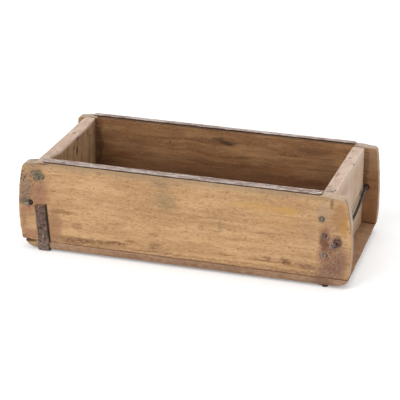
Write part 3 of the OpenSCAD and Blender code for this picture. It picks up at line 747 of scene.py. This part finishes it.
def modify(piece, kind, **settings):
    """Adds a modifier and applies it."""
    take(piece)
    modifier = piece.modifiers.new(kind.lower(), kind)
    for key, setting in settings.items():
        setattr(modifier, key, setting)
    bpy.ops.object.modifier_apply(modifier=modifier.name)


def copy_of(node):
    """A piece of its own with the shape of a CAD node, its doubles merged."""
    piece = bpy.data.objects.new("worn_" + node, nodes[node].data.copy())
    bpy.context.scene.collection.objects.link(piece)
    take(piece)
    bpy.ops.object.mode_set(mode="EDIT")
    bpy.ops.mesh.select_all(action="SELECT")
    bpy.ops.mesh.remove_doubles(threshold=SAME_POINT)
    bpy.ops.object.mode_set(mode="OBJECT")
    piece.data.materials.clear()
    return piece


def rub_down(piece, rounds, where=None):
    """Rubs the arrises round, everywhere or where the function of a place says so."""
    modify(piece, "SMOOTH", factor=0.5, iterations=rounds, vertex_group=mark(piece, where))
    piece.vertex_groups.clear()


def dent(piece, depth, size, stretch=(1, 1, 1), contrast=1.0, where=None):
    """Presses an uneven relief into a piece, never outwards."""
    texture = bpy.data.textures.new("dents", "CLOUDS")
    texture.noise_scale = size * MM
    texture.noise_depth = 3
    texture.contrast = contrast
    deselect()
    bpy.ops.object.empty_add()
    grid = bpy.context.object
    grid.scale = stretch
    bpy.context.view_layer.update()
    modify(
        piece, "DISPLACE", texture=texture, texture_coords="OBJECT",
        texture_coords_object=grid, strength=depth * MM, mid_level=1.0,
        vertex_group=mark(piece, where),
    )
    piece.vertex_groups.clear()
    bpy.data.objects.remove(grid)


def note_rubbing(piece, before, full):
    """Keeps how far each point moved when it was rubbed, for the finish to read."""
    moved = np.linalg.norm(points(piece) - before, axis=1) / (full * MM)
    attribute = piece.data.attributes.new("rubbed", "FLOAT", "POINT")
    attribute.data.foreach_set("value", np.clip(moved, 0, 1))


def stand_on_ground(piece):
    """Presses flat what the remeshing left below the ground."""
    take(piece)
    bpy.ops.object.mode_set(mode="EDIT")
    bpy.ops.mesh.select_all(action="DESELECT")
    bpy.ops.object.mode_set(mode="OBJECT")
    piece.data.vertices.foreach_set("select", points(piece)[:, 2] < 0)
    bpy.ops.object.mode_set(mode="EDIT")
    bpy.ops.transform.resize(value=(1, 1, 0), center_override=(0, 0, 0))
    bpy.ops.object.mode_set(mode="OBJECT")


def hand_over(piece, node, body, finish):
    """Puts a piece in the place of its CAD node."""
    take(piece)
    bpy.ops.object.shade_smooth()
    piece.data.materials.append(finish)
    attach(piece, body)
    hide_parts(node)


def worn_board(node, finish, voxel, grain, ends, free, worst=None):
    """A board with rubbed arrises, and with faces that years of use have left uneven.

    Ends, free and worst are functions of a place: ends is true where the board is knocked,
    free where nothing lies close against it, and worst where a corner has gone.
    """
    piece = copy_of(node)
    modify(piece, "REMESH", mode="VOXEL", voxel_size=voxel * MM)
    before = points(piece)
    rub_down(piece, FREE_ROUNDS, free)
    rub_down(piece, END_ROUNDS, ends)
    if worst:
        rub_down(piece, CORNER_ROUNDS, worst)
    note_rubbing(piece, before, FULLY_RUBBED)
    dent(piece, *WARP, stretch=grain, where=free)
    dent(piece, *SCUFFS, stretch=grain, contrast=1.6, where=free)
    dent(piece, *KNOCKS, contrast=1.4, where=ends)
    hand_over(piece, node, "mould", finish)


def worn_iron(node, body, finish, voxel, rounds, depth, size):
    """Hoop iron, rod or nails, hammered and eaten by rust."""
    piece = copy_of(node)
    modify(piece, "REMESH", mode="VOXEL", voxel_size=voxel * MM)
    before = points(piece)
    rub_down(piece, rounds)
    note_rubbing(piece, before, voxel)
    dent(piece, depth, size)
    dent(piece, depth * 0.6, size / 3, contrast=1.5)
    if points(piece)[:, 2].min() < 0:
        stand_on_ground(piece)
    hand_over(piece, node, body, finish)


def refinish(node, finish):
    """Gives a CAD node that keeps its shape its own finish."""
    for slot in nodes[node].material_slots:
        slot.material = finish


# Which points of a board are rubbed or dented, by their places in metres


def by_a_handle_hole(x, y, z):
    return any(math.hypot(x - rod[0], z - rod[1]) < HOLE_REACH for rod in (LEFT_ROD, RIGHT_ROD))


def on_an_ear(x, y, z):
    return not -0.1375 < x < 0.1345 and z > 0.013 and not by_a_handle_hole(x, y, z)


def on_the_left_ears_foot(x, y, z):
    return x < -0.142 and z < 0.019


def on_the_left_ends_arris(x, y, z):
    return -0.048 < y < -0.012 and x > -0.1305 and z > 0.08


def off_the_seam(x, y, z):
    return z > 0.0115 and not by_a_handle_hole(x, y, z)


def on_an_end_top(x, y, z):
    return z > 0.08


def on_a_bottom_arris(x, y, z):
    return z < 0.0045


def below_the_seam(x, y, z):
    return z < 0.0078 or not -0.138 < x < 0.135


def make_boards():
    """Voxels are in millimetres. The reliefs are drawn out along the grain."""
    along = (5, 1, 1)
    upright = (1, 1, 5)
    worn_board(
        "front_board", front_board_wood(), voxel=0.8, grain=along,
        ends=on_an_ear, free=off_the_seam, worst=on_the_left_ears_foot,
    )
    worn_board(
        "back_board", back_board_wood(), voxel=0.8, grain=along,
        ends=on_an_ear, free=off_the_seam,
    )
    worn_board(
        "left_end_board", left_end_board_wood(), voxel=0.8, grain=upright,
        ends=on_an_end_top, free=off_the_seam, worst=on_the_left_ends_arris,
    )
    worn_board(
        "right_end_board", right_end_board_wood(), voxel=0.8, grain=upright,
        ends=on_an_end_top, free=off_the_seam,
    )
    worn_board(
        "bottom_board", bottom_board_wood(), voxel=1.0, grain=along,
        ends=on_a_bottom_arris, free=below_the_seam,
    )


def make_ironwork():
    """Voxels, depths and sizes are in millimetres."""
    strip = wear_strip_iron()
    strap = strap_iron()
    rod = handle_iron()
    nail = nail_iron()
    for node in ("front_wear_strip", "back_wear_strip"):
        worn_iron(node, "mould", strip, voxel=0.4, rounds=2, depth=0.12, size=6)
    for node in ("left_strap", "right_strap"):
        worn_iron(node, "mould", strap, voxel=0.4, rounds=3, depth=0.3, size=4)
    for node in ("left_handle", "right_handle"):
        worn_iron(node, node, rod, voxel=0.3, rounds=2, depth=0.15, size=6)
    # Two of the front board's nails nearly touch, and a coarser mesh would join them
    worn_iron("front_board_nails", "mould", nail, voxel=0.18, rounds=3, depth=0.15, size=1.5)
    for node in ("back_board_nails", "bottom_nails", "left_strap_nails", "right_strap_nails"):
        worn_iron(node, "mould", nail, voxel=0.3, rounds=2, depth=0.15, size=1.5)
    for node in ("front_strip_nails", "back_strip_nails"):
        refinish(node, strip)


def seen_by_eyes(tree):
    """1 on the rays of the camera, mirrors and glass, and 0 on those that only bring light."""
    rays = tree.nodes.new("ShaderNodeLightPath")
    seen = rays.outputs["Is Camera Ray"]
    for also in ("Is Glossy Ray", "Is Transmission Ray"):
        either = tree.nodes.new("ShaderNodeMath")
        either.operation = "MAXIMUM"
        tree.links.new(seen, either.inputs[0])
        tree.links.new(rays.outputs[also], either.inputs[1])
        seen = either.outputs[0]
    return seen


def emptied(owner):
    """The node tree of a world or a material, with no nodes in it."""
    owner.use_nodes = True
    owner.node_tree.nodes.clear()
    return owner.node_tree


def make_sky():
    """White where it is seen, and dimmer where it lights the mould."""
    world = bpy.data.worlds.new("studio")
    bpy.context.scene.world = world
    tree = emptied(world)
    choice = tree.nodes.new("ShaderNodeMixShader")
    tree.links.new(seen_by_eyes(tree), choice.inputs[0])
    for strength, socket in ((DIM_SKY, choice.inputs[1]), (WHITE_SKY, choice.inputs[2])):
        sky = tree.nodes.new("ShaderNodeBackground")
        sky.inputs["Color"].default_value = WHITE
        sky.inputs["Strength"].default_value = strength
        tree.links.new(sky.outputs[0], socket)
    out = tree.nodes.new("ShaderNodeOutputWorld")
    tree.links.new(choice.outputs[0], out.inputs[0])


def make_floor():
    """Pale, and lifted to white by a glow that only eyes see, so that it keeps the shadow."""
    deselect()
    bpy.ops.mesh.primitive_plane_add(size=FLOOR_WIDTH)
    floor = bpy.context.object
    floor.name = "studio_floor"
    material = bpy.data.materials.new("studio floor")
    tree = emptied(material)
    pale = tree.nodes.new("ShaderNodeBsdfDiffuse")
    pale.inputs["Color"].default_value = FLOOR_SHADE
    lift = tree.nodes.new("ShaderNodeMath")
    lift.operation = "MULTIPLY"
    lift.inputs[1].default_value = FLOOR_GLOW
    tree.links.new(seen_by_eyes(tree), lift.inputs[0])
    glow = tree.nodes.new("ShaderNodeEmission")
    tree.links.new(lift.outputs[0], glow.inputs["Strength"])
    both = tree.nodes.new("ShaderNodeAddShader")
    tree.links.new(pale.outputs[0], both.inputs[0])
    tree.links.new(glow.outputs[0], both.inputs[1])
    out = tree.nodes.new("ShaderNodeOutputMaterial")
    tree.links.new(both.outputs[0], out.inputs[0])
    floor.data.materials.append(material)


def make_lamps():
    """Each lamp faces the middle of the mould's base."""
    for name, place, size, power in LAMPS:
        deselect()
        bpy.ops.object.light_add(type="AREA", location=place)
        lamp = bpy.context.object
        lamp.name = name
        lamp.data.size = size
        lamp.data.energy = power
        lamp.rotation_euler = Vector(place).to_track_quat("Z", "Y").to_euler()


def make_camera():
    """Stands the camera where the photograph was taken from."""
    turn, rise, roll = (math.radians(angle) for angle in CAMERA_ANGLES)
    deselect()
    bpy.ops.object.camera_add()
    camera = bpy.context.object
    camera.name = "photo_camera"
    camera.data.lens = CAMERA_LENS
    camera.data.clip_start = 0.05
    camera.data.clip_end = 20
    camera.matrix_world = (
        Matrix.Translation(CAMERA_PLACE)
        @ Matrix.Rotation(turn, 4, "Z")
        @ Matrix.Rotation(math.pi / 2 - rise, 4, "X")
        @ Matrix.Rotation(roll, 4, "Z")
    )
    bpy.context.scene.camera = camera


make_camera()
make_sky()
make_floor()
make_lamps()
make_boards()
make_ironwork()

bpy.context.scene.view_settings.view_transform = "Standard"
